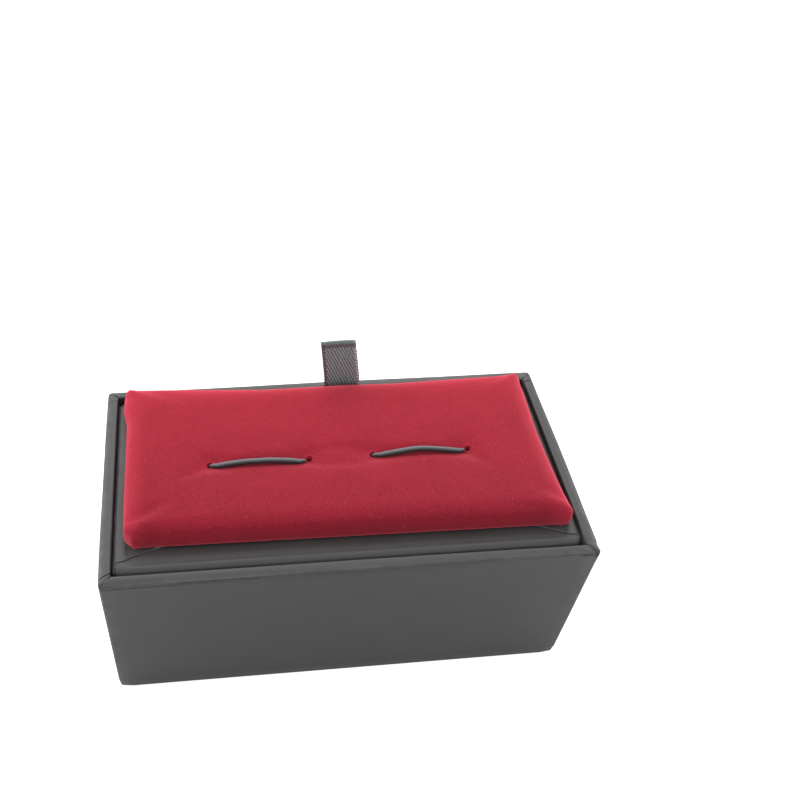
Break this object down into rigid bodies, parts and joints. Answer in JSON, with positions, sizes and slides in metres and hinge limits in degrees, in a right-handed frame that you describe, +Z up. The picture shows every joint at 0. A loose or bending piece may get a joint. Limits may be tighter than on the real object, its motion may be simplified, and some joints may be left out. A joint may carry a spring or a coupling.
{
  "type": "cufflink box with lift-out drawer",
  "caption": "Small oblong box, open on top, covered in dark leatherette, with a shallow drawer block that lifts out by a ribbon and carries a velvet pad with elastic cufflink loops.",
  "frame": {"origin": "middle of the casing's underside", "axes": "+X along the length to the right, -Y the front, +Z up out of the casing's mouth"},
  "size_m": [0.086, 0.045, 0.0494],
  "materials": {
    "leatherette": "dark grey leatherette paper, satin, fine grain",
    "black_paper": "matt black lining paper",
    "black_board": "black-faced board, matt",
    "greyboard": "bare grey packing board",
    "stay_paper": "gummed brown paper tape",
    "velvet": "short-pile red velvet",
    "foam": "soft white sponge sheet",
    "elastic": "black braided elastic cord",
    "ribbon": "black satin ribbon with woven edges",
    "barb_steel": "stamped steel"
  },
  "bodies": {
    "casing": {"case_bottom_board": "greyboard", "case_front_board": "greyboard", "case_back_board": "greyboard", "case_left_board": "greyboard", "case_right_board": "greyboard", "case_corner_stays": "stay_paper", "case_wrap": "leatherette", "case_base_sheet": "black_paper", "case_floor_lining": "black_paper", "case_ledge_front": "black_board", "case_ledge_back": "black_board", "case_ledge_left": "black_board", "case_ledge_right": "black_board"},
    "drawer": {"drawer_face_board": "greyboard", "drawer_front_board": "greyboard", "drawer_back_board": "greyboard", "drawer_left_board": "greyboard", "drawer_right_board": "greyboard", "drawer_platform_board": "greyboard", "drawer_corner_stays": "stay_paper", "drawer_wrap": "leatherette", "pad_board": "greyboard", "pad_foam": "foam", "pad_velvet": "velvet", "elastic_barbs": "barb_steel", "ribbon_tail": "ribbon"},
    "ribbon_loop": {"pull_ribbon": "ribbon"},
    "left_loop": {"elastic_loop_left": "elastic"},
    "right_loop": {"elastic_loop_right": "elastic"}
  },
  "joints": [
    {"name": "drawer_slide", "type": "slide", "parent": "casing", "child": "drawer", "axis": [0, 0, 1], "range_m": [0, 0.035]},
    {"name": "ribbon_fold", "type": "hinge", "parent": "drawer", "child": "ribbon_loop", "pos_m": [0.0025, 0.0198, 0.03945], "axis": [1, 0, 0], "range_deg": [-80, 80], "stiffness_Nm_per_rad": 0.0002},
    {"name": "elastic_lift_left", "type": "slide", "parent": "drawer", "child": "left_loop", "axis": [0, 0, 1], "range_m": [0, 0.003], "stiffness_N_per_m": 50},
    {"name": "elastic_lift_right", "type": "slide", "parent": "drawer", "child": "right_loop", "axis": [0, 0, 1], "range_m": [0, 0.003], "stiffness_N_per_m": 50}
  ]
}
